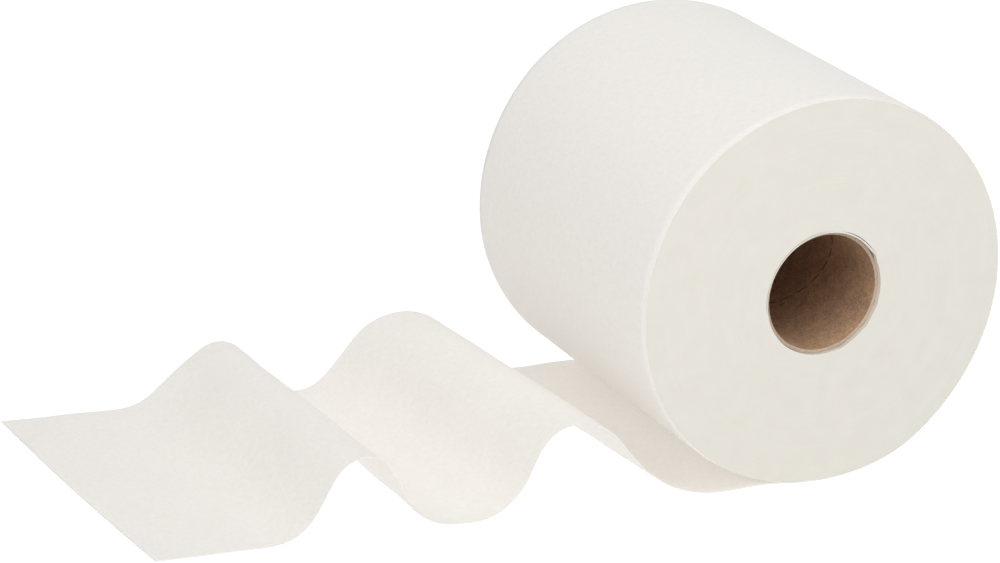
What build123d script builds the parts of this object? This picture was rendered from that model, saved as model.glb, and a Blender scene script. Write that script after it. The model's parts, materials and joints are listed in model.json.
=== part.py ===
from build123d import *
import os
from math import atan2, sin, tan

# A centrefeed paper roll lying on its side, in millimetres. Its axis runs along Y, its loose tail
# lies towards -X, and the origin is on the floor under the middle of the roll.

# Wound turns
ROLL_DIAMETER = 186.0
WEB_WIDTH = 175.0
WEB_THICKNESS = 0.3
FLAT_SPOT_DEPTH = 1.0

# Soft outer edges, where the last turns give way: a bevel along the axis and towards it, with a knee
EDGE_LENGTH = 3.5
EDGE_DROP = 1.2
EDGE_KNEE = 0.3

# Bands of turns, which keep the web's width and drift along the axis, so that the ends ripple
BAND_COUNT = 12
BAND_DRIFT = 0.5
BAND_ANGLE = 2.4

# Card core, loose enough in the first turn to be pulled out
CORE_DIAMETER = 58.0
CORE_WALL = 1.5
CORE_LENGTH = 171.0
CORE_FIT = 0.1
RIM_BEVEL = 0.4

# Tail's front edge, from the roll outwards: for each hump the flat run before it, the floor length
# under its two flanks, the height where they would meet, and the radii at foot, crest and foot
FRONT_GAP_1 = 72.0
FRONT_RISE_1 = 56.0
FRONT_FALL_1 = 22.0
FRONT_PEAK_1 = 63.0
FRONT_RISE_BEND_1 = 55.0
FRONT_CREST_BEND_1 = 23.0
FRONT_FALL_BEND_1 = 30.0
FRONT_GAP_2 = 45.0
FRONT_RISE_2 = 30.0
FRONT_FALL_2 = 28.0
FRONT_PEAK_2 = 53.0
FRONT_RISE_BEND_2 = 28.0
FRONT_CREST_BEND_2 = 14.5
FRONT_FALL_BEND_2 = 22.0
FRONT_END_RUN = 67.5

# Tail's back edge, in the same order
BACK_GAP_1 = 88.0
BACK_RISE_1 = 41.5
BACK_FALL_1 = 43.5
BACK_PEAK_1 = 58.0
BACK_RISE_BEND_1 = 28.0
BACK_CREST_BEND_1 = 32.5
BACK_FALL_BEND_1 = 17.0
BACK_GAP_2 = 24.0
BACK_RISE_2 = 25.0
BACK_FALL_2 = 42.0
BACK_PEAK_2 = 37.5
BACK_RISE_BEND_2 = 18.0
BACK_CREST_BEND_2 = 15.5
BACK_FALL_BEND_2 = 26.0
BACK_END_RUN = 67.5

# Sections that the tail is lofted through, and the share of a run that its two bends may take up
TAIL_SECTIONS = 9
BEND_ROOM = 0.98

# Worked out from the sizes above
ROLL_RADIUS = ROLL_DIAMETER / 2
AXIS_HEIGHT = ROLL_RADIUS - FLAT_SPOT_DEPTH
CORE_RADIUS = CORE_DIAMETER / 2
BORE_RADIUS = CORE_RADIUS + CORE_FIT
BAND_WIDTH = (ROLL_RADIUS - BORE_RADIUS) / BAND_COUNT
HALF_WIDTH = WEB_WIDTH / 2


def band_edge(count):
    """Radius and drift towards +Y at the inner edge of a band, counted from the outermost, which is flat."""
    radius = ROLL_RADIUS - count * BAND_WIDTH
    return radius, BAND_DRIFT * sin(BAND_ANGLE * (count - 1) / 2) ** 2


def end_profile(y, inwards):
    """One end of the turns in section, from the outside to the bore, with the web's cut edge at y."""
    points = [
        (ROLL_RADIUS, y + inwards * EDGE_LENGTH),
        (ROLL_RADIUS - EDGE_KNEE * EDGE_DROP, y + inwards * EDGE_KNEE * EDGE_LENGTH),
        (ROLL_RADIUS - EDGE_DROP, y),
    ]
    for count in range(1, BAND_COUNT + 1):
        radius, drift = band_edge(count)
        points.append((radius, y + drift))
    return points


def wound_turns():
    """The turns as one ring, with rippled ends, soft outer edges and a flat where it rests."""
    front = end_profile(-HALF_WIDTH, 1)
    back = end_profile(HALF_WIDTH, -1)
    section = make_face(Polyline(*front, *reversed(back), close=True))
    ring = Pos(0, 0, AXIS_HEIGHT) * revolve(section, Axis.Y)
    floor = Box(ROLL_DIAMETER, 2 * WEB_WIDTH, ROLL_DIAMETER, align=(Align.CENTER, Align.CENTER, Align.MAX))
    return ring - floor


def edge_corners(runs, peaks):
    """Corners of one cut edge: distance along the floor, then height. Each hump is a gap, a rise and a fall."""
    corners = [Vector(0, 0)]
    heights = [0.0, peaks[0], 0.0, 0.0, peaks[1], 0.0, 0.0]
    for run, height in zip(runs, heights):
        corners.append(Vector(corners[-1].X + run, height))
    return corners


def front_edge():
    """Corners and bend radii of the tail's front edge."""
    hump_1 = [FRONT_GAP_1, FRONT_RISE_1, FRONT_FALL_1]
    hump_2 = [FRONT_GAP_2, FRONT_RISE_2, FRONT_FALL_2]
    corners = edge_corners(hump_1 + hump_2 + [FRONT_END_RUN], [FRONT_PEAK_1, FRONT_PEAK_2])
    bends_1 = [FRONT_RISE_BEND_1, FRONT_CREST_BEND_1, FRONT_FALL_BEND_1]
    bends_2 = [FRONT_RISE_BEND_2, FRONT_CREST_BEND_2, FRONT_FALL_BEND_2]
    return corners, bends_1 + bends_2


def back_edge():
    """Corners and bend radii of the tail's back edge."""
    hump_1 = [BACK_GAP_1, BACK_RISE_1, BACK_FALL_1]
    hump_2 = [BACK_GAP_2, BACK_RISE_2, BACK_FALL_2]
    corners = edge_corners(hump_1 + hump_2 + [BACK_END_RUN], [BACK_PEAK_1, BACK_PEAK_2])
    bends_1 = [BACK_RISE_BEND_1, BACK_CREST_BEND_1, BACK_FALL_BEND_1]
    bends_2 = [BACK_RISE_BEND_2, BACK_CREST_BEND_2, BACK_FALL_BEND_2]
    return corners, bends_1 + bends_2


def mixed(front, back, share):
    """Values that lie a share of the way from the front edge's to the back edge's."""
    return [a + (b - a) * share for a, b in zip(front, back)]


def eased(corners, bends):
    """Bend radii, made smaller where two bends would meet on the run between them."""
    steps = [b - a for a, b in zip(corners, corners[1:])]
    headings = [atan2(step.Y, step.X) for step in steps]
    turns = [abs(b - a) for a, b in zip(headings, headings[1:])]
    reaches = [0.0] + [bend * tan(turn / 2) for bend, turn in zip(bends, turns)] + [0.0]
    room = [min(1.0, BEND_ROOM * step.length / (a + b)) for step, a, b in zip(steps, reaches, reaches[1:])]
    return [bend * min(before, after) for bend, before, after in zip(bends, room, room[1:])]


def tail_section(share):
    """The tail cut across its thickness, a share of the way from its front edge to its back edge."""
    front_corners, front_bends = front_edge()
    back_corners, back_bends = back_edge()
    corners = mixed(front_corners, back_corners, share)
    bends = mixed(front_bends, back_bends, share)
    underside = FilletPolyline(*corners, radius=eased(corners, bends))
    outline = underside.wire().offset_2d(WEB_THICKNESS, side=Side.LEFT)
    place = Plane(origin=(0, WEB_WIDTH * share - HALF_WIDTH, 0), x_dir=(-1, 0, 0), z_dir=(0, 1, 0))
    return place * make_face(outline)


def loose_tail():
    """The free end of the web, ruled from section to section so that its humps turn from edge to edge."""
    return loft([tail_section(step / (TAIL_SECTIONS - 1)) for step in range(TAIL_SECTIONS)], ruled=True)


def card_core():
    """The card tube in the middle, with the corners of its rims worn off."""
    blank = Cylinder(CORE_RADIUS, CORE_LENGTH) - Cylinder(CORE_RADIUS - CORE_WALL, CORE_LENGTH)
    rims = blank.edges().filter_by(GeomType.CIRCLE)
    tube = chamfer(rims, min(RIM_BEVEL, CORE_WALL / 3))
    return Pos(0, 0, AXIS_HEIGHT) * Rot(90, 0, 0) * tube


paper_roll = wound_turns() + loose_tail()
core = card_core()

os.makedirs("parts", exist_ok=True)
export_step(paper_roll, "parts/paper_roll.step")
export_step(core, "parts/core.step")
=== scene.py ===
import json
import math
from bisect import bisect_right
from itertools import accumulate
from typing import NamedTuple

import bmesh
import bpy
from bpy.props import FloatProperty, FloatVectorProperty, IntProperty, PointerProperty
from mathutils import Matrix, Vector, noise


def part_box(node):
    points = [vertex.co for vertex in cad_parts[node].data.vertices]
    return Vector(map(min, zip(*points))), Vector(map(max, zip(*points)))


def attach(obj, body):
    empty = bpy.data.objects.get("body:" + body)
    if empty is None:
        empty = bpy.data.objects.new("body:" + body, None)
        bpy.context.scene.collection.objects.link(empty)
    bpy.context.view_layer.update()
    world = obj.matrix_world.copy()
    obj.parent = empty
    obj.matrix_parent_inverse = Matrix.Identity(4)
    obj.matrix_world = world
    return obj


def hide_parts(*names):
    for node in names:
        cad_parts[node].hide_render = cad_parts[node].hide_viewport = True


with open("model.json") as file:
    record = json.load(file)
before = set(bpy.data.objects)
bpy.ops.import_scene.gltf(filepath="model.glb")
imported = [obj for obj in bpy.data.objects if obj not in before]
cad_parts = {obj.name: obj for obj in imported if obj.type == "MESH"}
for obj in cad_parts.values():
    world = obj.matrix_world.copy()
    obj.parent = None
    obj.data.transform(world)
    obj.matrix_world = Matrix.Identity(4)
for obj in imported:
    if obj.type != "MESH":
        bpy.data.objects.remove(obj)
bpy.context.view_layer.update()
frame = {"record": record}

bl_info = {
    "name": "Centrefeed paper roll",
    "version": (1, 0, 0),
    "blender": (4, 5, 0),
    "location": "3D View > Sidebar > Paper roll",
    "description": "Dresses a lying paper roll: wound turns, loose web, card core and a studio stage",
    "category": "Object",
}

# Sizes of the solids, in metres: the roll's axis runs along Y and its tail lies towards -X
MM = 0.001
ROLL_LOW, ROLL_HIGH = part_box("paper_roll")
CORE_LOW, CORE_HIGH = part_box("core")
MOUNTS = {mount["name"]: mount for mount in frame["record"]["mounts"]}
ROLL_RADIUS = ROLL_HIGH.x
HALF_WIDTH = -ROLL_LOW.y
AXIS_HEIGHT = (CORE_LOW.z + CORE_HIGH.z) / 2
CORE_RADIUS = (CORE_HIGH.x - CORE_LOW.x) / 2
CORE_BORE = MOUNTS["core_bore"]["dims"]["r_mm"] * MM
CORE_LENGTH = CORE_HIGH.y - CORE_LOW.y
BODY = "root"
FULL_TURN = 2 * math.pi


class Hump(NamedTuple):
    """One hump of the tail's edge: the flat run before it, the floor length under its two flanks, the height
    where the flanks would meet, and the radii at its first foot, its crest and its second foot."""

    gap: float
    rise: float
    fall: float
    peak: float
    first_bend: float
    crest_bend: float
    second_bend: float


# The tail's two cut edges, from the resting line outwards
FRONT_HUMPS = (
    Hump(72 * MM, 56 * MM, 22 * MM, 63 * MM, 55 * MM, 23 * MM, 30 * MM),
    Hump(45 * MM, 30 * MM, 28 * MM, 53 * MM, 28 * MM, 14.5 * MM, 22 * MM),
)
BACK_HUMPS = (
    Hump(88 * MM, 41.5 * MM, 43.5 * MM, 58 * MM, 28 * MM, 32.5 * MM, 17 * MM),
    Hump(24 * MM, 25 * MM, 42 * MM, 37.5 * MM, 18 * MM, 15.5 * MM, 26 * MM),
)
END_RUN = 67.5 * MM

# Share of a straight run that the bends at its two ends may take up
BEND_ROOM = 0.98


class Swell(NamedTuple):
    """A stretch that stands out of round: its angle from the resting line, its spread and its height."""

    angle: float
    spread: float
    height: float


# Swells of the roll's outside
SWELLS = (
    Swell(math.radians(138), math.radians(24), 0.7 * MM),
    Swell(math.radians(330), math.radians(16), 1.5 * MM),
)

# Stretches of the first turn that stand off the core at the ends
LOOSE_STRETCHES = (
    Swell(math.radians(237), math.radians(5), 0.6 * MM),
    Swell(math.radians(286), math.radians(3), 0.35 * MM),
    Swell(math.radians(306), math.radians(4), 0.4 * MM),
    Swell(math.radians(336), math.radians(5), 0.45 * MM),
)

# Stretches of the ends where the second turn stands off the first, with the gap's depth as their height
GAP_STRETCHES = (
    Swell(math.radians(90), math.radians(9), 4 * MM),
    Swell(math.radians(138), math.radians(24), 5 * MM),
    Swell(math.radians(215), math.radians(14), 3 * MM),
)

# How far out from the hole the gap lies, and half its width
GAP_PLACE = 0.3 * MM
GAP_HALF_WIDTH = 0.2 * MM

# The joint of the core's card strip and the line of dashes printed inside it: two helices that cross the
# resting line at these places along the axis
SEAM_START = 20 * MM
PRINT_START = -21.75 * MM
PRINT_HALF_WIDTH = 0.4 * MM
DASHES_PER_TURN = 22
DASH_PHASE = 0.4
DASH_SHARE = 0.68


class Softbox(NamedTuple):
    """A square soft light that looks at the roll and lights one piece only, with or without shadows. Its
    place and size are in metres and its power is in watts."""

    name: str
    place: tuple
    size: float
    power: float
    piece: str
    shadow: bool = True


# The fills cast no shadow, so they light the web alone: the gaps round the first turn and the core stay dark
SOFTBOXES = (
    Softbox("top_fill", (0.05, -0.45, 2.15), 2.2, 20.3, "last_turn_and_tail", shadow=False),
    Softbox("front_fill", (-1.0, -1.25, 0.0), 1.2, 9.5, "last_turn_and_tail", shadow=False),
    Softbox("top_softbox", (-0.1, -0.6, 2.1), 1.8, 6.0, "last_turn_and_tail"),
    Softbox("front_softbox", (-0.7, -1.4, 1.2), 1.0, 15.0, "wound_turns"),
    Softbox("rear_softbox", (-0.7, 1.4, 1.2), 1.0, 15.0, "wound_turns"),
    Softbox("core_softbox", (-0.75, -0.75, 1.7), 1.8, 27.0, "card_core"),
)


class WebSettings(bpy.types.PropertyGroup):
    """Sizes and colour of the paper web."""

    thickness: FloatProperty(
        name="Web thickness",
        description="Thickness of the two-ply web with its air",
        default=0.3 * MM,
        unit="LENGTH",
        precision=5,
    )
    start_lap: FloatProperty(
        name="Start lap",
        description="Angle under the roll where the last turn starts, before the resting line",
        default=math.radians(6),
        unit="ROTATION",
    )
    tail_length: FloatProperty(
        name="Tail length",
        description="Length of the web from the resting line to its free end, over the humps",
        default=0.386,
        unit="LENGTH",
    )
    bend_ease: FloatProperty(
        name="Bend ease",
        description="Distance along the web over which a bend comes in softly",
        default=5 * MM,
        unit="LENGTH",
        precision=4,
    )
    end_bow: FloatProperty(
        name="End bow",
        description="How far the middle of the free end bows out past its corners",
        default=1.5 * MM,
        unit="LENGTH",
        precision=4,
    )
    cockle: FloatProperty(
        name="Cockle",
        description="Height of the slow waves in the loose tail",
        default=0.5 * MM,
        unit="LENGTH",
        precision=5,
    )
    run_bow: FloatProperty(
        name="First run bow",
        description="How far the tail rises off the floor between the roll and its first hump",
        default=1.0 * MM,
        unit="LENGTH",
        precision=4,
    )
    tint: FloatVectorProperty(
        name="Paper colour",
        description="Colour of the bleached pulp",
        default=(0.88, 0.854, 0.815),
        size=3,
        subtype="COLOR",
    )
    # The darker end of the tissue's colour: the pulp's thin places, and painted shade in the hollows of the
    # wrinkles' bump
    dark_tone_and_shade: FloatVectorProperty(
        name="Paper shade",
        description="Colour of the thin places between the fibres",
        default=(0.82, 0.794, 0.755),
        size=3,
        subtype="COLOR",
    )


class TurnSettings(bpy.types.PropertyGroup):
    """Sizes and colour of the wound turns."""

    turns: IntProperty(
        name="Bundles of turns",
        description="Bundles of turns that can be told apart on the ends",
        default=64,
    )
    ridge: FloatProperty(
        name="Ridge height",
        description="How far the edge of a bundle stands out from the groove beside it",
        default=0.05 * MM,
        unit="LENGTH",
        precision=5,
    )
    drift: FloatProperty(
        name="Drift",
        description="How far bands of turns have slipped along the axis",
        default=0.12 * MM,
        unit="LENGTH",
        precision=5,
    )
    edge_length: FloatProperty(
        name="Soft edge length",
        description="Length along the axis over which the outer edge gives way",
        default=3.5 * MM,
        unit="LENGTH",
        precision=4,
    )
    edge_drop: FloatProperty(
        name="Soft edge drop",
        description="How far the outer edge has sunk towards the axis",
        default=0.7 * MM,
        unit="LENGTH",
        precision=4,
    )
    dent: FloatProperty(
        name="Dent depth",
        description="Depth of the shallow dents in the soft roll",
        default=0.3 * MM,
        unit="LENGTH",
        precision=5,
    )
    tint: FloatVectorProperty(
        name="Cut edge colour",
        description="Colour of the turns' cut edges",
        default=(0.865, 0.838, 0.768),
        size=3,
        subtype="COLOR",
    )
    # The darker end of the cut edges' colour: painted shade between the rings, with the pulp's mottle
    dark_tone_and_shade: FloatVectorProperty(
        name="Cut edge shade",
        description="Colour between the turns' cut edges",
        default=(0.815, 0.788, 0.714),
        size=3,
        subtype="COLOR",
    )


class CoreSettings(bpy.types.PropertyGroup):
    """Sizes and colours of the card core."""

    plies: IntProperty(
        name="Plies",
        description="Layers of card in the wall",
        default=3,
    )
    helix_pitch: FloatProperty(
        name="Helix pitch",
        description="Advance along the tube of the wound card strip in one turn",
        default=83.8 * MM,
        unit="LENGTH",
    )
    seam_width: FloatProperty(
        name="Seam width",
        description="Width of the joint between neighbouring turns of the strip",
        default=0.25 * MM,
        unit="LENGTH",
        precision=5,
    )
    skew: FloatProperty(
        name="Rim skew",
        description="How far the cut rim is out of square with the tube",
        default=0.3 * MM,
        unit="LENGTH",
        precision=5,
    )
    tint: FloatVectorProperty(
        name="Card colour",
        description="Colour of the brown card",
        default=(0.47, 0.30, 0.187),
        size=3,
        subtype="COLOR",
    )
    rim_tint: FloatVectorProperty(
        name="Rim colour",
        description="Colour of the card's cut rim",
        default=(0.72, 0.60, 0.47),
        size=3,
        subtype="COLOR",
    )
    ink_tint: FloatVectorProperty(
        name="Ink colour",
        description="Colour of the dashes printed inside the tube",
        default=(0.03, 0.022, 0.016),
        size=3,
        subtype="COLOR",
    )


class StageSettings(bpy.types.PropertyGroup):
    """Camera, floor and light."""

    camera_place: FloatVectorProperty(
        name="Camera place",
        description="Where the camera stands",
        default=(-0.8753, -1.5152, 0.6563),
        size=3,
        subtype="TRANSLATION",
        unit="LENGTH",
    )
    yaw: FloatProperty(
        name="Yaw",
        description="Turn of the camera from +Y towards +X",
        default=math.radians(26.447),
        unit="ROTATION",
    )
    pitch: FloatProperty(
        name="Pitch",
        description="How far the camera looks down",
        default=math.radians(18.820),
        unit="ROTATION",
    )
    roll: FloatProperty(
        name="Roll",
        description="Turn of the camera about its own line of sight",
        default=math.radians(3.707),
        unit="ROTATION",
    )
    lens: FloatProperty(
        name="Lens",
        description="Focal length on a sensor 36 mm wide",
        default=139.5,
        subtype="DISTANCE_CAMERA",
    )
    floor_tint: FloatVectorProperty(
        name="Floor colour",
        description="Colour of the plain floor",
        default=(0.2, 0.2, 0.2),
        size=3,
        subtype="COLOR",
    )
    floor_glow: FloatProperty(
        name="Floor glow",
        description="Strength of the white light that comes through the floor",
        default=0.7,
    )
    sky: FloatProperty(
        name="Sky",
        description="Strength of the even light from all round",
        default=0.5,
    )


# Node trees


def feed(tree, socket, value):
    """Links a socket to another one, or sets it to a plain value."""
    if isinstance(value, bpy.types.NodeSocket):
        tree.links.new(value, socket)
    else:
        socket.default_value = value


def add_node(tree, kind, inputs=None, **settings):
    """The outputs of a new node with its settings, and with its inputs set to values or linked to sockets."""
    made = tree.nodes.new(kind)
    for name, value in settings.items():
        setattr(made, name, value)
    for name, value in (inputs or {}).items():
        feed(tree, made.inputs[name], value)
    return made.outputs


def math_node(tree, operation, *values):
    """The result of a Math node on values or sockets."""
    return add_node(tree, "ShaderNodeMath", dict(enumerate(values)), operation=operation)[0]


def span(tree, value, low, high):
    """A value between 0 and 1, moved to the span between two numbers."""
    return math_node(tree, "MULTIPLY_ADD", value, high - low, low)


def weighted(tree, first, second, share):
    """A share of a first value and the rest of a second one."""
    return math_node(tree, "MULTIPLY_ADD", first, share, math_node(tree, "MULTIPLY", second, 1 - share))


def mix_colour(tree, factor, first, second):
    """A colour between two colours or sockets."""
    made = tree.nodes.new("ShaderNodeMix")
    made.data_type = "RGBA"
    sockets = {socket.identifier: socket for socket in made.inputs}
    feed(tree, sockets["Factor_Float"], factor)
    feed(tree, sockets["A_Color"], first)
    feed(tree, sockets["B_Color"], second)
    return next(socket for socket in made.outputs if socket.identifier == "Result_Color")


def opaque(colour, share=1.0):
    """A colour property, or a darker or lighter share of it, as a colour with full alpha."""
    return (*(min(1.0, channel * share) for channel in colour), 1.0)


def stretched(tree, value):
    """A noise value with its middle range stretched to 0 and 1."""
    inputs = {"Value": value, "From Min": 0.3, "From Max": 0.7}
    return add_node(tree, "ShaderNodeMapRange", inputs)["Result"]


def new_group(name, inputs, outputs):
    """A shader node group with named sockets, with what it is given and what it puts out."""
    group = bpy.data.node_groups.new(name, "ShaderNodeTree")
    for socket, kind in inputs.items():
        group.interface.new_socket(socket, in_out="INPUT", socket_type=kind)
    for socket in outputs:
        group.interface.new_socket(socket, in_out="OUTPUT", socket_type="NodeSocketFloat")
    given = group.nodes.new("NodeGroupInput").outputs
    result = group.nodes.new("NodeGroupOutput").inputs
    return group, given, result


def fibre_group():
    """Node group with the mottle of pulp and the short fibres in it, for paper and card alike."""
    group = bpy.data.node_groups.get("fibre_mottle")
    if group:
        return group
    inputs = {
        "Place": "NodeSocketVector",
        "Mottle Scale": "NodeSocketFloat",
        "Fibre Scale": "NodeSocketFloat",
    }
    group, given, result = new_group("fibre_mottle", inputs, ("Mottle", "Fibres"))
    mottle = {"Vector": given["Place"], "Scale": given["Mottle Scale"], "Detail": 4.0, "Roughness": 0.6}
    fibres = {
        "Vector": given["Place"],
        "Scale": given["Fibre Scale"],
        "Detail": 3.0,
        "Roughness": 0.55,
        "Distortion": 1.6,
    }
    for name, noise_inputs in (("Mottle", mottle), ("Fibres", fibres)):
        value = add_node(group, "ShaderNodeTexNoise", noise_inputs)["Fac"]
        feed(group, result[name], stretched(group, value))
    return group


def axis_group():
    """Node group with a place about the roll's axis: its radius, its angle from straight down, and its place
    along the axis."""
    group = bpy.data.node_groups.get("about_axis")
    if group:
        return group
    inputs = {"Place": "NodeSocketVector"}
    group, given, result = new_group("about_axis", inputs, ("Radius", "Angle", "Along"))
    turned = add_node(
        group,
        "ShaderNodeMapping",
        {"Vector": given["Place"], "Location": (0.0, 0.0, AXIS_HEIGHT), "Scale": (-1.0, 1.0, -1.0)},
    )["Vector"]
    parts = add_node(group, "ShaderNodeSeparateXYZ", {"Vector": turned})
    across = add_node(group, "ShaderNodeCombineXYZ", {"X": parts["X"], "Y": parts["Z"]})["Vector"]
    radius = add_node(group, "ShaderNodeVectorMath", {0: across}, operation="LENGTH")["Value"]
    feed(group, result["Radius"], radius)
    feed(group, result["Angle"], math_node(group, "ARCTAN2", parts["X"], parts["Z"]))
    feed(group, result["Along"], parts["Y"])
    return group


def add_group(tree, group, **inputs):
    """The outputs of a node group placed in a material with its own values."""
    named = {name.replace("_", " ").title(): value for name, value in inputs.items()}
    return add_node(tree, "ShaderNodeGroup", named, node_tree=group)


def object_place(tree):
    """The place in the part's own frame."""
    return add_node(tree, "ShaderNodeTexCoord")["Object"]


def new_material(name):
    """A node material with its tree and its Principled shader."""
    material = bpy.data.materials.new(name)
    material.use_nodes = True
    tree = material.node_tree
    return material, tree, tree.nodes["Principled BSDF"]


def link_surface(tree, shader, colour, roughness, relief, strength, depth):
    """Links a colour, a roughness and a bump of a depth to a shader."""
    feed(tree, shader.inputs["Base Color"], colour)
    feed(tree, shader.inputs["Roughness"], roughness)
    bump = {"Height": relief, "Strength": strength, "Distance": depth}
    feed(tree, shader.inputs["Normal"], add_node(tree, "ShaderNodeBump", bump)["Normal"])


def dry_paper(shader):
    """Gives a shader the dull sheen of soft dry paper."""
    shader.inputs["Specular IOR Level"].default_value = 0.25
    shader.inputs["Sheen Weight"].default_value = 0.08
    shader.inputs["Sheen Roughness"].default_value = 0.5


# Scales of the grain in a metre of each surface: the mottle and the fibres, the tissue's wrinkles across and
# along the web, and the cut turns' rings, with their wander along a ring
TISSUE_GRAIN = {"mottle_scale": 320.0, "fibre_scale": 1100.0}
TURNS_GRAIN = {"mottle_scale": 90.0, "fibre_scale": 1400.0}
CARD_GRAIN = {"mottle_scale": 150.0, "fibre_scale": 800.0}
WRINKLE_SCALE = (260.0, 1500.0, 1.0)
RING_SCALE = 2600.0
RING_WANDER = 45.0

# Shares of the card's colour in its dark and pale flecks and in the joint of its strip, and how much of the
# joint's colour shows
DARK_FLECK = 0.5
PALE_FLECK = 1.5
SEAM_SHADE = 0.6
SEAM_STRENGTH = 0.25


def creped_tissue(web):
    """Creped tissue: fine wrinkles across the web, the mottle of the pulp and its fibres. Its colour darkens
    where the bump of wrinkles and mottle sinks: painted shade in their hollows, with the pulp's uneven tone.
    """
    material, tree, shader = new_material("creped_tissue")
    sheet = add_node(tree, "ShaderNodeUVMap", uv_map="web")["UV"]
    fibres = add_group(tree, fibre_group(), place=sheet, **TISSUE_GRAIN)
    wrinkled = add_node(tree, "ShaderNodeMapping", {"Vector": sheet, "Scale": WRINKLE_SCALE})["Vector"]
    inputs = {"Vector": wrinkled, "Scale": 1.0, "Detail": 3.0, "Roughness": 0.5, "Distortion": 0.4}
    crepe = stretched(tree, add_node(tree, "ShaderNodeTexNoise", inputs)["Fac"])
    relief = math_node(tree, "MULTIPLY_ADD", fibres["Mottle"], 0.8, crepe)
    # The colour follows the bump: darker in its hollows as painted shade, and with the pulp's uneven mottle
    tone_and_hollow_shade = weighted(tree, crepe, fibres["Mottle"], share=0.5)
    colour = mix_colour(tree, tone_and_hollow_shade, opaque(web.dark_tone_and_shade), opaque(web.tint))
    roughness = span(tree, fibres["Fibres"], low=0.85, high=0.95)
    link_surface(tree, shader, colour, roughness, relief, strength=0.45, depth=0.08 * MM)
    dry_paper(shader)
    shader.inputs["Subsurface Weight"].default_value = 0.5
    shader.inputs["Subsurface Radius"].default_value = (1.0, 1.0, 1.0)
    shader.inputs["Subsurface Scale"].default_value = 0.2 * MM
    return material


def cut_turns(turns):
    """Cut edges of the turns: fine rings about the axis, with painted shade that darkens the colour between
    them where their bump sinks, and the pulp's mottle.
    """
    material, tree, shader = new_material("cut_turns")
    place = object_place(tree)
    axis = add_group(tree, axis_group(), place=place)
    wander = {0: place, 1: (RING_WANDER, RING_WANDER, RING_WANDER)}
    along_ring = add_node(tree, "ShaderNodeVectorMath", wander, operation="MULTIPLY")["Vector"]
    ring_count = math_node(tree, "MULTIPLY", axis["Radius"], RING_SCALE)
    across_ring = add_node(tree, "ShaderNodeCombineXYZ", {"X": ring_count})["Vector"]
    ring_place = add_node(tree, "ShaderNodeVectorMath", {0: along_ring, 1: across_ring}, operation="ADD")
    inputs = {"Vector": ring_place["Vector"], "Scale": 1.0, "Detail": 3.0, "Roughness": 0.6}
    rings = stretched(tree, add_node(tree, "ShaderNodeTexNoise", inputs)["Fac"])
    fibres = add_group(tree, fibre_group(), place=place, **TURNS_GRAIN)
    relief = math_node(tree, "MULTIPLY_ADD", fibres["Fibres"], 0.6, rings)
    # The colour darkens where the rings' bump sinks, as painted shade between the turns, and with the pulp's
    # random mottle
    tone_and_hollow_shade = weighted(tree, rings, fibres["Mottle"], share=0.5)
    colour = mix_colour(tree, tone_and_hollow_shade, opaque(turns.dark_tone_and_shade), opaque(turns.tint))
    roughness = span(tree, fibres["Fibres"], low=0.87, high=0.97)
    link_surface(tree, shader, colour, roughness, relief, strength=0.2, depth=0.05 * MM)
    dry_paper(shader)
    return material


def helix_offset(tree, axis, pitch, start):
    """Signed distance along the tube from the nearest turn of a helix that starts on the resting line."""
    climb = math_node(tree, "MULTIPLY_ADD", axis["Angle"], -pitch / FULL_TURN, axis["Along"])
    return math_node(tree, "WRAP", math_node(tree, "SUBTRACT", climb, start), pitch / 2, -pitch / 2)


def within(tree, offset, half_width):
    """A mask of the places that lie nearer to a line than half its width."""
    return math_node(tree, "LESS_THAN", math_node(tree, "ABSOLUTE", offset), half_width)


def printed_dashes(tree, axis, pitch):
    """A mask of the dashes along a helix on the inside of the tube."""
    line = within(tree, helix_offset(tree, axis, pitch, PRINT_START), PRINT_HALF_WIDTH)
    count = math_node(tree, "MULTIPLY_ADD", axis["Angle"], -DASHES_PER_TURN / FULL_TURN, DASH_PHASE)
    dash = math_node(tree, "LESS_THAN", math_node(tree, "FRACT", count), DASH_SHARE)
    inside = math_node(tree, "LESS_THAN", axis["Radius"], (CORE_BORE + CORE_RADIUS) / 2)
    return math_node(tree, "MULTIPLY", math_node(tree, "MULTIPLY", line, dash), inside)


def kraft_card(core):
    """Brown card with fibres, a darker joint along the strip, a paler cut rim and printed dashes inside."""
    material, tree, shader = new_material("kraft_card")
    place = object_place(tree)
    axis = add_group(tree, axis_group(), place=place)
    fibres = add_group(tree, fibre_group(), place=place, **CARD_GRAIN)
    fleck = weighted(tree, fibres["Fibres"], fibres["Mottle"], share=0.7)
    card = mix_colour(tree, fleck, opaque(core.tint, DARK_FLECK), opaque(core.tint, PALE_FLECK))
    seam = within(tree, helix_offset(tree, axis, core.helix_pitch, SEAM_START), core.seam_width)
    seam = math_node(tree, "MULTIPLY", seam, SEAM_STRENGTH)
    card = mix_colour(tree, seam, card, opaque(core.tint, SEAM_SHADE))
    rim = add_node(tree, "ShaderNodeAttribute", attribute_name="rim")["Fac"]
    frayed = math_node(tree, "MULTIPLY", rim, span(tree, fibres["Fibres"], low=0.5, high=1.0))
    card = mix_colour(tree, frayed, card, opaque(core.rim_tint))
    worn = span(tree, fibres["Fibres"], low=0.6, high=0.9)
    ink = math_node(tree, "MULTIPLY", printed_dashes(tree, axis, core.helix_pitch), worn)
    card = mix_colour(tree, ink, card, opaque(core.ink_tint))
    roughness = span(tree, fibres["Fibres"], low=0.72, high=0.87)
    link_surface(tree, shader, card, roughness, fibres["Fibres"], strength=0.5, depth=0.12 * MM)
    shader.inputs["Specular IOR Level"].default_value = 0.3
    return material


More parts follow.
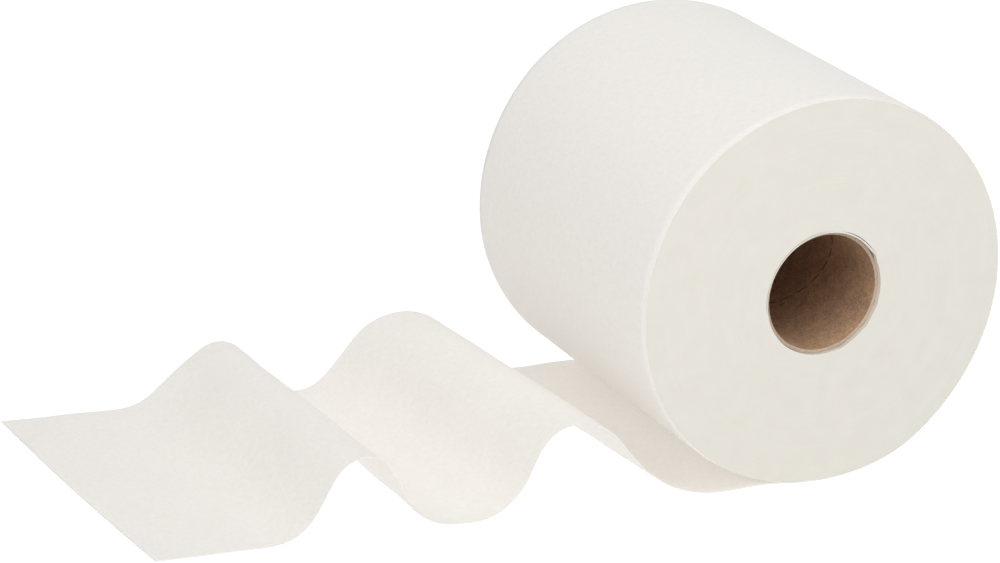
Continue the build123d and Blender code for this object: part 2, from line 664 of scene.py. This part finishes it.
def floor_material(stage):
    """A plain pale floor, lit from below like a sheet of white acrylic, and fully white to the camera."""
    material, tree, shader = new_material("pale_floor")
    shader.inputs["Base Color"].default_value = opaque(stage.floor_tint)
    shader.inputs["Roughness"].default_value = 0.9
    shader.inputs["Specular IOR Level"].default_value = 0.1
    shader.inputs["Emission Color"].default_value = (1.0, 1.0, 1.0, 1.0)
    seen = add_node(tree, "ShaderNodeLightPath")["Is Camera Ray"]
    feed(tree, shader.inputs["Emission Strength"], span(tree, seen, low=stage.floor_glow, high=1.0))
    return material


# Meshes

# Faces that meet at more than this angle have a sharp edge between them
SHARP_ANGLE = math.radians(50)


def add_piece(name, bm, material, node):
    """A finished piece of the object: smooth, in its material, riding on the body and standing for a node."""
    mesh = bpy.data.meshes.new(name)
    bm.to_mesh(mesh)
    bm.free()
    mesh.shade_smooth()
    mesh.set_sharp_from_angle(angle=SHARP_ANGLE)
    mesh.materials.append(material)
    piece = bpy.data.objects.new(name, mesh)
    bpy.context.scene.collection.objects.link(piece)
    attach(piece, BODY)
    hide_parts(node)
    return piece


# Clearances between the turns and the web on them, and between the first turn and the core
WEB_FIT = 0.02 * MM
CORE_FIT = 0.1 * MM

# The core's front mouth, bent out of round on the tail's side
MOUTH_ANGLE = math.radians(55)
MOUTH_SPREAD = math.radians(45)
MOUTH_PUSH = 0.9 * MM
MOUTH_REACH = 15 * MM

# Size over which the soft roll's dents vary
DENT_SIZE = 55 * MM

# The cut turns' unevenness, in patches and from turn to turn: the sizes over which it varies, the patches'
# share of it, the share of a ridge that it leaves as it is, and its own height as a share of a ridge
PATCH_SIZE = 9 * MM
TURN_SIZE = 1.4 * MM
PATCH_SHARE = 0.6
EVEN_SHARE = 0.7
UNEVEN_HEIGHT = 0.6

# How far a cut edge of paper or card wanders
CUT_WANDER = 0.12 * MM

# Distance within which a vertex lies on a surface, and within which two vertices are one
ON_SURFACE = 0.01 * MM
SAME_PLACE = 0.001 * MM


def ripple(place, size):
    """A smooth value between -1 and 1 that varies over a size."""
    return noise.noise(Vector(place) / size)


def eased(share):
    """A share that leaves 0 and reaches 1 softly."""
    return share * share * (3 - 2 * share)


def edge_sag(turns, inset):
    """How far the roll's outer surface sinks at a distance in from its cut edge."""
    share = max(0.0, 1 - inset / turns.edge_length)
    return turns.edge_drop * eased(share)


def dent(turns, angle, y):
    """Depth of the shallow dents in the roll's outer surface."""
    place = (ROLL_RADIUS * math.cos(angle), y, ROLL_RADIUS * math.sin(angle))
    return turns.dent * (0.5 + 0.5 * ripple(place, DENT_SIZE))


def swollen(swells, angle):
    """How far a round surface stands out at an angle."""
    total = 0.0
    for swell in swells:
        off = math.remainder(angle - swell.angle, FULL_TURN) / swell.spread
        total += swell.height * math.exp(-off * off)
    return total


def soft_radius(turns, angle, y):
    """Outer radius of the soft roll, with its swells, dents and sunken edges."""
    sag = edge_sag(turns, HALF_WIDTH - abs(y))
    return ROLL_RADIUS + swollen(SWELLS, angle) - dent(turns, angle, y) - sag


def flattened(radius, angle, level):
    """A radius, cut short where the roll lies flat at a level above the floor."""
    down = math.cos(angle)
    if down <= 0:
        return radius
    return min(radius, (AXIS_HEIGHT - level) / down)


def last_turn_radius(web, turns, angle, y):
    """Outer radius of the last turn. Angles run from the resting line, up on the tail's side and over."""
    under = web.thickness * (1 - max(0.0, angle) / FULL_TURN)
    return flattened(soft_radius(turns, angle, y) - under, angle, under)


def wall_radius(web, turns, angle, y):
    """Radius of the turns under the last one."""
    under = web.thickness * (2 - angle / FULL_TURN) + WEB_FIT
    return flattened(soft_radius(turns, angle, y) - under, angle, 2 * web.thickness + WEB_FIT)


def mouth_push(angle, y):
    """How far the core's front mouth, and the turns round it, are pushed out of round."""
    off = math.remainder(angle - MOUTH_ANGLE, FULL_TURN) / MOUTH_SPREAD
    return MOUTH_PUSH * math.exp(-off * off - (y + HALF_WIDTH) / MOUTH_REACH)


def about_axis(radius, angle, y):
    """A point of the roll, at an angle from straight down towards the tail."""
    return Vector((-radius * math.sin(angle), y, AXIS_HEIGHT - radius * math.cos(angle)))


# Bands of turns that have slipped together, and the angle whose sine gives the slip of each next band
BAND_COUNT = 12
BAND_ANGLE = 2.4


def band_drift(turns, radius):
    """How far the turns at a radius have slipped along the axis, eased from band to band."""
    count = BAND_COUNT * (ROLL_RADIUS - radius) / (ROLL_RADIUS - CORE_RADIUS)
    first = max(1, math.floor(count))
    share = eased(min(1.0, max(0.0, count - first)))
    low, high = (math.sin(BAND_ANGLE * (step - 1) / 2) ** 2 for step in (first, first + 1))
    return turns.drift * (low + (high - low) * share)


# Columns of a spun shape, and the rings of the wall by their distance in from each end
TURN_STEPS = 240
COLUMN_ANGLE = FULL_TURN / TURN_STEPS
WALL_INSETS = (1.0 * MM, 2.0 * MM, 3.5 * MM, 30 * MM)


def ring_section(rings):
    """Section of the plain ring: the front end outwards, the wall, the back end inwards."""
    rim = rings[-1]
    wall = [inset - HALF_WIDTH for inset in WALL_INSETS]
    section = [(radius, -HALF_WIDTH) for radius in rings]
    section += [(rim, y) for y in wall]
    section += [(rim, -y) for y in reversed(wall)]
    section += [(radius, HALF_WIDTH) for radius in reversed(rings)]
    return section


def spun(bm, section, merge):
    """Spins a closed section of radii and places about the roll's axis. Gives the last column of vertices."""
    verts = [bm.verts.new((0, y, AXIS_HEIGHT - radius)) for radius, y in section]
    edges = [bm.edges.new((a, b)) for a, b in zip(verts, verts[1:] + verts[:1])]
    made = bmesh.ops.spin(
        bm,
        geom=verts + edges,
        cent=(0, 0, AXIS_HEIGHT),
        axis=(0, 1, 0),
        angle=FULL_TURN,
        steps=TURN_STEPS,
        use_merge=merge,
    )
    return {part for part in made["geom_last"] if isinstance(part, bmesh.types.BMVert)}


def column_and_radius(vert):
    """Number of a spun vertex's column, counted from straight down, and its radius."""
    across = -vert.co.x
    down = AXIS_HEIGHT - vert.co.z
    column = round(math.atan2(across, down) / COLUMN_ANGLE) % TURN_STEPS
    return column, math.hypot(across, down)


def settle_turns(bm, last, web, turns, bore, rim):
    """Moves the plain ring's vertices to the wound roll: a spiral of ridges on its ends, a soft flat wall."""
    pitch = (rim - bore) / turns.turns
    for vert in bm.verts:
        y = vert.co.y
        column, radius = column_and_radius(vert)
        angle = FULL_TURN if vert in last else column * COLUMN_ANGLE
        if abs(y) <= HALF_WIDTH - ON_SURFACE:
            vert.co = about_axis(wall_radius(web, turns, angle, y), angle, y)
            continue
        wound = min(rim, max(bore, radius + pitch * angle / FULL_TURN))
        share = (wound - bore) / (rim - bore)
        hole = bore + mouth_push(angle, y) + swollen(LOOSE_STRETCHES, angle)
        out = hole + share * (wall_radius(web, turns, angle, y) - hole)
        phase = (wound - bore) / pitch - angle / FULL_TURN
        ridge = 1 - abs(2 * (phase % 1.0) - 1)
        place = about_axis(out, angle, y)
        uneven = PATCH_SHARE * ripple(place, PATCH_SIZE)
        uneven += (1 - PATCH_SHARE) * ripple((out, y, 0), TURN_SIZE)
        ridge *= EVEN_SHARE + (1 - EVEN_SHARE) * uneven
        rise = turns.ridge * (ridge + UNEVEN_HEIGHT * uneven)
        if math.isclose(radius, bore + GAP_PLACE, abs_tol=GAP_HALF_WIDTH / 2):
            rise -= swollen(GAP_STRETCHES, angle)
        slip = band_drift(turns, out)
        place.y += slip + math.copysign(1.0, y) * rise
        vert.co = place


def wound_turns(web, turns):
    """The turns under the last one, wound as a spiral with a flat where the roll rests."""
    bore = CORE_RADIUS + CORE_FIT
    rim = ROLL_RADIUS - web.thickness
    pitch = (rim - bore) / turns.turns
    rings = [bore + (step / 2 - 1) * pitch for step in range(2 * turns.turns + 3)]
    rings += [bore + GAP_PLACE + side * GAP_HALF_WIDTH for side in (-1, 0, 1)]
    bm = bmesh.new()
    last = spun(bm, ring_section(sorted(rings)), merge=False)
    settle_turns(bm, last, web, turns, bore, rim)
    bmesh.ops.remove_doubles(bm, verts=bm.verts, dist=SAME_PLACE)
    bmesh.ops.recalc_face_normals(bm, faces=bm.faces)
    add_piece("wound_turns", bm, cut_turns(turns), "paper_roll")


# The web: its last turn and its loose tail


def mixed_hump(front, back, share):
    """A hump that lies a share of the way from the front edge's to the back edge's."""
    return Hump(*(a + (b - a) * share for a, b in zip(front, back)))


def edge_corners(humps):
    """Corners of a line along the tail: distance along the floor, then height."""
    corners = [Vector((0.0, 0.0))]
    for hump in humps:
        for run, height in ((hump.gap, 0.0), (hump.rise, hump.peak), (hump.fall, 0.0)):
            corners.append(Vector((corners[-1].x + run, height)))
    corners.append(Vector((corners[-1].x + END_RUN, 0.0)))
    return corners


def runs_and_bends(humps):
    """The line as lengths and the angles that they turn through: a straight run, a bend, a run and so on."""
    corners = edge_corners(humps)
    bends = [bend for hump in humps for bend in (hump.first_bend, hump.crest_bend, hump.second_bend)]
    steps = [b - a for a, b in zip(corners, corners[1:])]
    headings = [math.atan2(step.y, step.x) for step in steps]
    angles = [b - a for a, b in zip(headings, headings[1:])]
    reaches = [0.0, *(bend * math.tan(abs(angle) / 2) for bend, angle in zip(bends, angles)), 0.0]
    room = [min(1.0, BEND_ROOM * step.length / (a + b)) for step, a, b in zip(steps, reaches, reaches[1:])]
    fits = [min(before, after) for before, after in zip(room, room[1:])]
    reaches = [0.0, *(reach * fit for reach, fit in zip(reaches[1:], fits)), 0.0]
    line = []
    for index, step in enumerate(steps):
        line.append((step.length - reaches[index] - reaches[index + 1], 0.0))
        if index < len(bends):
            line.append((bends[index] * fits[index] * abs(angles[index]), angles[index]))
    return line


class TailLine:
    """One line along the tail, from the resting line to the free end, which gives places by distance."""

    def __init__(self, share):
        humps = [mixed_hump(front, back, share) for front, back in zip(FRONT_HUMPS, BACK_HUMPS)]
        self.parts = runs_and_bends(humps)
        self.starts = [0.0, *accumulate(length for length, _ in self.parts)]
        self.length = self.starts.pop()
        self.states = [(Vector((0.0, 0.0)), 0.0)]
        for length, turn in self.parts[:-1]:
            self.states.append(self.advance(*self.states[-1], length, length, turn))

    @staticmethod
    def advance(place, heading, distance, length, turn):
        """Place and heading after a distance along a run, or along a bend of that length and turn."""
        if turn == 0.0:
            return place + distance * Vector((math.cos(heading), math.sin(heading))), heading
        radius = length / turn
        ahead = heading + distance / radius
        step = Vector((math.sin(ahead) - math.sin(heading), math.cos(heading) - math.cos(ahead)))
        return place + radius * step, ahead

    def at(self, distance):
        """Place and heading at a distance. Past its ends the line goes straight on."""
        index = min(len(self.parts), max(1, bisect_right(self.starts, distance))) - 1
        return self.advance(*self.states[index], distance - self.starts[index], *self.parts[index])

    def soft(self, distance, ease):
        """Place and heading with the bends eased in."""
        before, here, after = (self.at(distance + step)[0] for step in (-ease, 0.0, ease))
        return (before + 2 * here + after) / 4, self.at(distance)[1]


# Columns and rows of the web's grid, and how far the columns crowd towards the cut edges
WEB_COLUMNS = 72
WEB_ROWS = 440
EDGE_CROWDING = 0.85

# Lengths of the tail that cling to the floor by the roll, and over which it comes free
CLING = 30 * MM
RELEASE = 50 * MM


class Wave(NamedTuple):
    """Waves of the web: their share of the full height, the size over which they vary, their own layer of the
    noise, and how narrow the strip along the cut edges is that they keep to."""

    height: float
    size: float
    layer: float
    narrowness: int = 0

    def at(self, share, first, second):
        """Height of the waves at a share across the web, from two distances on it."""
        edge = abs(2 * share - 1) ** self.narrowness
        return self.height * edge * ripple((first, second, self.layer), self.size)


SLOW_WAVE = Wave(1.0, 38 * MM, 0.4)
SHORT_WAVE = Wave(0.5, 17 * MM, 1.7)
EDGE_WAVE = Wave(1.2, 21 * MM, 5.3, narrowness=6)
EDGE_WANDER = Wave(1.0, 14 * MM, 3.1, narrowness=8)


def across_web(share):
    """Place along the axis of a share across the web."""
    return HALF_WIDTH * (2 * share - 1)


def crowded(share):
    """A share across the web, with the columns crowded towards the cut edges."""
    bunched = 0.5 - 0.5 * math.cos(math.pi * share)
    return share + EDGE_CROWDING * (bunched - share)


def last_turn_point(web, turns, share, distance):
    """A point of the last turn's outer face, at a distance from where the turn starts."""
    angle = distance / ROLL_RADIUS - web.start_lap
    y = across_web(share) + CUT_WANDER * EDGE_WANDER.at(share, distance, share)
    return about_axis(last_turn_radius(web, turns, angle, y), angle, y)


def tail_point(web, line, share, distance):
    """A point of the tail's outer face, which lies down: on the humps' line, with slow waves."""
    y = across_web(share)
    along = distance / web.tail_length * (line.length + web.end_bow * math.sin(math.pi * share))
    place, heading = line.soft(along, web.bend_ease)
    place.y += web.run_bow * math.sin(math.pi * min(1.0, along / line.parts[0][0])) ** 2
    free = min(1.0, max(0.0, (distance - CLING) / RELEASE))
    waves = SLOW_WAVE.at(share, y, distance) + SHORT_WAVE.at(share, y, distance)
    waves += EDGE_WAVE.at(share, distance, y)
    place += free * web.cockle * waves * Vector((-math.sin(heading), math.cos(heading)))
    return Vector((-place.x, y, max(0.0, place.y)))


def last_turn_and_tail(web, turns):
    """The web's last turn and its loose tail, as one sheet whose faces point away from the roll."""
    turn_length = ROLL_RADIUS * (FULL_TURN + web.start_lap)
    length = turn_length + web.tail_length
    bm = bmesh.new()
    sheet_uv = bm.loops.layers.uv.new("web")
    bmesh.ops.create_grid(bm, x_segments=WEB_COLUMNS, y_segments=WEB_ROWS, size=0.5)
    lines = {}
    for vert in bm.verts:
        share = crowded(vert.co.x + 0.5)
        distance = (vert.co.y + 0.5) * length
        for loop in vert.link_loops:
            loop[sheet_uv].uv = (share * 2 * HALF_WIDTH, distance)
        if distance <= turn_length:
            vert.co = last_turn_point(web, turns, share, distance)
            continue
        column = round(share, 5)
        if column not in lines:
            lines[column] = TailLine(share)
        vert.co = tail_point(web, lines[column], share, distance - turn_length)
    bmesh.ops.reverse_faces(bm, faces=bm.faces)
    piece = add_piece("last_turn_and_tail", bm, creped_tissue(web), "paper_roll")
    solid = piece.modifiers.new("web_thickness", "SOLIDIFY")
    solid.thickness = web.thickness
    solid.offset = -1.0


# The card core

# Rings along the tube, and the columns and the depth of the strip's joint
CORE_RINGS = 58
SEAM_COLUMNS = (TURN_STEPS - 1, 0, 1)
SEAM_DEPTH = 0.1 * MM

# Depth of the cut rims, the angle that they lean towards, and how fine their wander is
RIM_DEPTH = 0.5 * MM
SKEW_ANGLE = math.radians(45)
RIM_WAVES = 6

# Shares of a ply at the rim: the part rounded off at each side, and the depth of the groove between plies
PLY_ROUND = 0.25
PLY_GROOVE = 0.3


def core_section(core):
    """Section of the tube's wall: the bore, the front rim with its plies, the outside and the back rim."""
    half = CORE_LENGTH / 2
    wall = CORE_RADIUS - CORE_BORE
    ply = wall / core.plies
    groove = PLY_GROOVE * ply
    rim = []
    for index in range(core.plies):
        low = CORE_BORE + index * ply
        rim += [(low, groove), (low + PLY_ROUND * ply, 0.0), (low + (1 - PLY_ROUND) * ply, 0.0)]
    rim.append((CORE_RADIUS, groove))
    steps = [half * (2 * index / CORE_RINGS - 1) for index in range(1, CORE_RINGS)]
    steps = [RIM_DEPTH - half, *steps, half - RIM_DEPTH]
    section = [(radius, inset - half) for radius, inset in rim]
    section += [(CORE_RADIUS, y) for y in steps]
    section += [(radius, half - inset) for radius, inset in reversed(rim)]
    section += [(CORE_BORE, y) for y in reversed(steps)]
    return section


def card_core(core):
    """The card tube: its strip wound along a helix with an open joint, its rims a little out of square."""
    bm = bmesh.new()
    rim_layer = bm.verts.layers.float.new("rim")
    spun(bm, core_section(core), merge=True)
    for vert in bm.verts:
        y = vert.co.y
        column, radius = column_and_radius(vert)
        angle = column * COLUMN_ANGLE
        if column in SEAM_COLUMNS:
            offset = SEAM_COLUMNS.index(column) - 1
            angle = offset * core.seam_width / radius
            if offset == 0 and abs(radius - CORE_BORE) < ON_SURFACE:
                radius += SEAM_DEPTH
        inset = CORE_LENGTH / 2 - abs(y)
        vert[rim_layer] = 1.0 if inset < RIM_DEPTH / 2 else 0.0
        turned = angle + (y - SEAM_START) * FULL_TURN / core.helix_pitch
        if inset < 2 * RIM_DEPTH:
            y -= core.skew * math.cos(turned - SKEW_ANGLE)
            round_rim = (radius, RIM_WAVES * math.cos(turned), RIM_WAVES * math.sin(turned))
            y += CUT_WANDER * ripple(round_rim, 1.0)
        vert.co = about_axis(radius + mouth_push(turned, y), turned, y)
    bmesh.ops.recalc_face_normals(bm, faces=bm.faces)
    add_piece("card_core", bm, kraft_card(core), "core")


# The stage

# The camera's sensor in millimetres and its reach in metres, the floor's radius, and its drop below the part
SENSOR_WIDTH = 36.0
VIEW_REACH = 50.0
FLOOR_RADIUS = 6.0
FLOOR_DROP = 0.1 * MM


def camera_axes(stage):
    """Directions to the right, up and back of the camera."""
    level = math.cos(stage.pitch)
    ahead = Vector((math.sin(stage.yaw) * level, math.cos(stage.yaw) * level, -math.sin(stage.pitch)))
    right = Vector((math.cos(stage.yaw), -math.sin(stage.yaw), 0.0))
    up = right.cross(ahead)
    turned_right = math.cos(stage.roll) * right + math.sin(stage.roll) * up
    turned_up = math.cos(stage.roll) * up - math.sin(stage.roll) * right
    return turned_right, turned_up, -ahead


def add_camera(stage):
    """The camera at the photograph's place."""
    data = bpy.data.cameras.new("camera")
    data.sensor_width = SENSOR_WIDTH
    data.lens = stage.lens
    data.clip_end = VIEW_REACH
    camera = bpy.data.objects.new("camera", data)
    turn = Matrix(camera_axes(stage)).transposed().to_4x4()
    camera.matrix_world = Matrix.Translation(stage.camera_place) @ turn
    bpy.context.scene.collection.objects.link(camera)
    bpy.context.scene.camera = camera


def lit_alone(piece):
    """The collection through which lights reach one piece only."""
    name = "lit_" + piece
    lit = bpy.data.collections.get(name)
    if lit is None:
        lit = bpy.data.collections.new(name)
        lit.objects.link(bpy.data.objects[piece])
    return lit


def add_softbox(softbox):
    """A square soft light that looks at the roll and lights its piece."""
    data = bpy.data.lights.new(softbox.name, "AREA")
    data.size = softbox.size
    data.energy = softbox.power
    light = bpy.data.objects.new(softbox.name, data)
    light.location = softbox.place
    aim = Vector((0.0, 0.0, AXIS_HEIGHT)) - light.location
    light.rotation_euler = aim.to_track_quat("-Z", "Y").to_euler()
    data.use_shadow = softbox.shadow
    light.light_linking.receiver_collection = lit_alone(softbox.piece)
    bpy.context.scene.collection.objects.link(light)


def add_floor(stage):
    """A wide plain floor just under the part."""
    bm = bmesh.new()
    bmesh.ops.create_circle(bm, cap_ends=True, segments=96, radius=FLOOR_RADIUS)
    bmesh.ops.translate(bm, verts=bm.verts, vec=(0.0, 0.0, -FLOOR_DROP))
    mesh = bpy.data.meshes.new("floor")
    bm.to_mesh(mesh)
    bm.free()
    mesh.materials.append(floor_material(stage))
    floor = bpy.data.objects.new("floor", mesh)
    bpy.context.scene.collection.objects.link(floor)


def add_sky(stage):
    """Even white light from all round."""
    world = bpy.data.worlds.new("studio")
    world.use_nodes = True
    background = world.node_tree.nodes["Background"]
    background.inputs["Color"].default_value = (1.0, 1.0, 1.0, 1.0)
    background.inputs["Strength"].default_value = stage.sky
    bpy.context.scene.world = world


# Operators and panel


class ROLL_OT_wound_turns(bpy.types.Operator):
    """Make the wound turns of the roll"""

    bl_idname = "paper_roll.wound_turns"
    bl_label = "Wound turns"

    def execute(self, context):
        wound_turns(context.scene.roll_web, context.scene.roll_turns)
        return {"FINISHED"}


class ROLL_OT_web(bpy.types.Operator):
    """Make the web's last turn and its loose tail"""

    bl_idname = "paper_roll.web"
    bl_label = "Last turn and tail"

    def execute(self, context):
        last_turn_and_tail(context.scene.roll_web, context.scene.roll_turns)
        return {"FINISHED"}


class ROLL_OT_core(bpy.types.Operator):
    """Make the card core"""

    bl_idname = "paper_roll.core"
    bl_label = "Card core"

    def execute(self, context):
        card_core(context.scene.roll_core)
        return {"FINISHED"}


class ROLL_OT_stage(bpy.types.Operator):
    """Make the camera, the floor and the light"""

    bl_idname = "paper_roll.stage"
    bl_label = "Stage"

    def execute(self, context):
        stage = context.scene.roll_stage
        add_camera(stage)
        add_floor(stage)
        add_sky(stage)
        for softbox in SOFTBOXES:
            add_softbox(softbox)
        context.scene.view_settings.view_transform = "Standard"
        return {"FINISHED"}


class ROLL_PT_panel(bpy.types.Panel):
    """The pieces of the paper roll, in the order that they are made"""

    bl_idname = "ROLL_PT_panel"
    bl_label = "Paper roll"
    bl_space_type = "VIEW_3D"
    bl_region_type = "UI"
    bl_category = "Paper roll"

    def draw(self, context):
        for operator in OPERATORS:
            self.layout.operator(operator.bl_idname)


GROUPS = {
    "roll_web": WebSettings,
    "roll_turns": TurnSettings,
    "roll_core": CoreSettings,
    "roll_stage": StageSettings,
}
OPERATORS = (ROLL_OT_wound_turns, ROLL_OT_web, ROLL_OT_core, ROLL_OT_stage)
CLASSES = (*GROUPS.values(), *OPERATORS, ROLL_PT_panel)


def register():
    """Registers the classes and gives the scene its settings."""
    for kind in CLASSES:
        bpy.utils.register_class(kind)
    for name, group in GROUPS.items():
        setattr(bpy.types.Scene, name, PointerProperty(type=group))


def unregister():
    """Takes the settings off the scene and unregisters the classes."""
    for name in GROUPS:
        delattr(bpy.types.Scene, name)
    for kind in reversed(CLASSES):
        bpy.utils.unregister_class(kind)


def main():
    """Makes the pieces and the stage."""
    register()
    bpy.ops.paper_roll.wound_turns()
    bpy.ops.paper_roll.web()
    bpy.ops.paper_roll.core()
    bpy.ops.paper_roll.stage()


if __name__ == "__main__":
    main()
